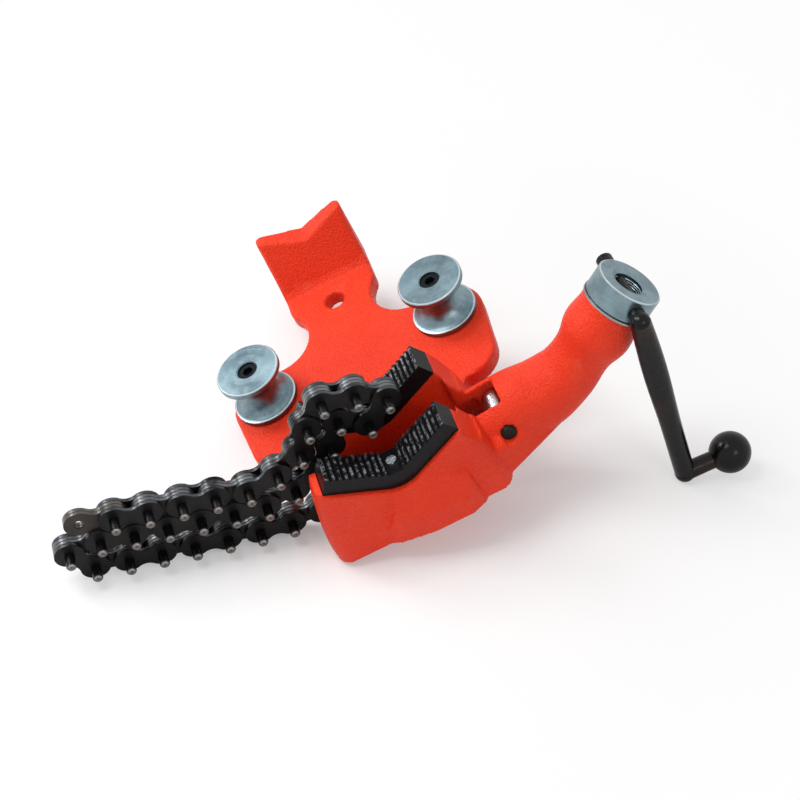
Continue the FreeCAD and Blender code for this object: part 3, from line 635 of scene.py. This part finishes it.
def pin_end_steel():
    material, tree, shader = finish("cropped pin end")
    mottle = noise(tree, object_places(tree), pin_end_mottle, 4.0, 0.7)
    flat = spread(tree, facing_across(tree), 0.80, 0.98)
    face = blend_colour(tree, mottle, tuple(c * 0.6 for c in pin_end_brown), pin_end_brown)
    tree.links.new(blend_colour(tree, flat, burr_bright, face), shader.inputs["Base Color"])
    tree.links.new(between(tree, mottle, 0.3, 0.7, 0.28, 0.50), shader.inputs["Roughness"])
    tree.links.new(between(tree, flat, 0.0, 1.0, 0.9, 0.55), shader.inputs["Metallic"])
    raise_skin(tree, shader, 0.3, pin_end_depth, mottle)
    return material


def pin_end_tree(material):
    """A low button with a burr round it on every point, facing along Y."""
    sizes = {"Radius": pin_end_radius, "Rise": pin_end_rise, "Burr": pin_end_rim}
    tree, start, end = node_tree_for("pin ends", sizes)
    radius = start.outputs["Radius"]
    disc = put(tree, "GeometryNodeMeshCylinder", {"fill_type": "NGON"}, Vertices=pin_end_steps,
               Side_Segments=1, Radius=radius, Depth=start.outputs["Rise"])
    burr_path = circle(tree, pin_end_steps, radius)
    burr_round = circle(tree, burr_steps, start.outputs["Burr"])
    burr = put(tree, "GeometryNodeCurveToMesh", Curve=burr_path, Profile_Curve=burr_round)
    button = tree.nodes.new("GeometryNodeJoinGeometry")
    tree.links.new(burr.outputs[0], button.inputs[0])
    tree.links.new(disc.outputs[0], button.inputs[0])
    places = put(tree, "GeometryNodeMeshToPoints", {"mode": "VERTICES"}, i0=start.outputs["Geometry"])
    spots = put(tree, "GeometryNodeInstanceOnPoints", Points=places.outputs[0], Instance=button.outputs[0],
                Rotation=(math.pi / 2, 0.0, 0.0))
    close_tree(tree, spots.outputs[0], end, material)
    return tree, sizes


def pin_ends(name):
    """Middles of the long pins' front and back ends on an outer link, from its own solid."""
    mesh = nodes[name].data
    found = []
    for reach in (chain_y - pin_front, chain_y + pin_back):
        rim = [v.co.copy() for v in mesh.vertices if abs(v.co.y - reach) < same_end]
        if not rim:
            continue
        first = rim[0]
        far = max(rim, key=lambda p: (p - first).length)
        for centre in (first, far):
            near = [p for p in rim if (p - centre).length < one_pin_wide]
            low = [min(p[i] for p in near) for i in range(3)]
            high = [max(p[i] for p in near) for i in range(3)]
            found.append(Vector((low[i] + high[i]) / 2 for i in range(3)))
    return found


pin_finish = pin_end_steel()
heading, pin_sizes = pin_end_tree(pin_finish)
bodies = frame["record"]["behaviour"]["bodies"]
body_of_node = {node: body for body, held in bodies.items() for node in held}
ends_of_body = {}
for name in outer_names:
    ends_of_body.setdefault(body_of_node[name], []).extend(pin_ends(name))
for body, places in ends_of_body.items():
    if places:
        seeds = bpy.data.meshes.new("pin end places")
        seeds.from_pydata(places, [], [])
        grown("pin_ends_" + body, heading, seeds, pin_sizes, pin_finish, body)


# The studio: a white floor that runs out of the picture, soft lamps, and the camera in front
# of the vise and above it.
picture_side = 800
sensor_width = 36.0
focal_pixels = 1708.67
camera_square = Vector((0.1161, -0.8728, 0.9873))
view_azimuth = math.radians(-5.95)
view_elevation = math.radians(46.19)
view_roll = math.radians(-30.53)


def square_camera():
    """The camera's place and turn in the vise's own square frame, then laid down with it."""
    level = math.cos(view_elevation)
    ahead = Vector((math.sin(view_azimuth) * level, math.cos(view_azimuth) * level,
                    -math.sin(view_elevation)))
    side = Vector((math.cos(view_azimuth), -math.sin(view_azimuth), 0))
    top = side.cross(ahead)
    rolled_side = side * math.cos(view_roll) + top * math.sin(view_roll)
    rolled_top = -side * math.sin(view_roll) + top * math.cos(view_roll)
    turn = Matrix((rolled_side, rolled_top, -ahead)).transposed()
    return laid @ (Matrix.Translation(camera_square) @ turn.to_4x4())


lens = bpy.data.cameras.new("camera")
lens.sensor_width = sensor_width
lens.lens = focal_pixels * sensor_width / picture_side
lens.clip_start = 0.05
lens.clip_end = 50.0
camera = bpy.data.objects.new("camera", lens)
camera.matrix_world = square_camera()
bpy.context.scene.collection.objects.link(camera)
bpy.context.scene.camera = camera

floor_half = 6.0
floor_drop = 0.0002
floor_white = (0.93, 0.93, 0.93, 1)
floor_shade_reach = 0.30


def studio_floor():
    """A wide white sheet. Near the vise its shadow shows, further out the camera sees plain white."""
    work = bmesh.new()
    bmesh.ops.create_grid(work, x_segments=1, y_segments=1, size=floor_half)
    mesh = bpy.data.meshes.new("studio_floor")
    work.to_mesh(mesh)
    work.free()
    floor = bpy.data.objects.new("studio_floor", mesh)
    floor.location = (0, 0, -floor_drop)
    bpy.context.scene.collection.objects.link(floor)
    material, tree, shader = finish("white studio sweep")
    shader.inputs["Base Color"].default_value = floor_white
    shader.inputs["Roughness"].default_value = 0.9
    shader.inputs["Specular IOR Level"].default_value = 0.1
    plain = put(tree, "ShaderNodeEmission", Color=(1, 1, 1, 1), Strength=1.0)
    seen = put(tree, "ShaderNodeLightPath").outputs["Is Camera Ray"]
    away = put(tree, "ShaderNodeVectorMath", {"operation": "LENGTH"}, i0=object_places(tree)).outputs[1]
    share = between(tree, away, 0.5 * floor_shade_reach, 1.5 * floor_shade_reach, 0.22, 0.92)
    mixed = put(tree, "ShaderNodeMixShader", i0=times(tree, seen, share), i1=shader.outputs[0],
                i2=plain.outputs[0])
    tree.links.new(mixed.outputs[0], tree.nodes["Material Output"].inputs["Surface"])
    mesh.materials.append(material)


studio_floor()


def lamp(name, place, size, power):
    """White area lamp that looks at the middle of the vise."""
    light = bpy.data.lights.new(name, "AREA")
    light.shape = "RECTANGLE"
    light.size, light.size_y = size
    light.energy = power
    holder = bpy.data.objects.new(name, light)
    ahead = (lamp_target - Vector(place)).normalized()
    holder.rotation_euler = ahead.to_track_quat("-Z", "Y").to_euler()
    holder.location = place
    bpy.context.scene.collection.objects.link(holder)


lamp_target = Vector((0, 0, 0.05))
lamp("soft lamp over the left", (-0.75, 0.15, 1.5), (0.8, 0.8), 16.0)
lamp("soft lamp behind", (-1.15, 0.80, 1.2), (0.6, 0.5), 10.0)
lamp("soft lamp in front", (0.5, -1.5, 1.1), (0.7, 0.5), 4.5)

world_fill = 0.42
world = bpy.data.worlds.new("studio")
bpy.context.scene.world = world
world.use_nodes = True
sky = world.node_tree
sky.nodes["Background"].inputs["Color"].default_value = (1, 1, 1, 1)
sky.nodes["Background"].inputs["Strength"].default_value = world_fill
rays = put(sky, "ShaderNodeLightPath")
white = put(sky, "ShaderNodeBackground", Color=(1, 1, 1, 1), Strength=1.0)
straight = combine(sky, "MAXIMUM", rays.outputs["Is Camera Ray"], rays.outputs["Is Glossy Ray"])
straight = combine(sky, "MAXIMUM", straight, rays.outputs["Is Transmission Ray"])
pick = put(sky, "ShaderNodeMixShader", i0=straight, i1=sky.nodes["Background"].outputs[0],
           i2=white.outputs[0])
sky.links.new(pick.outputs[0], sky.nodes["World Output"].inputs["Surface"])

bpy.context.scene.view_settings.view_transform = "Standard"
bpy.context.view_layer.update()
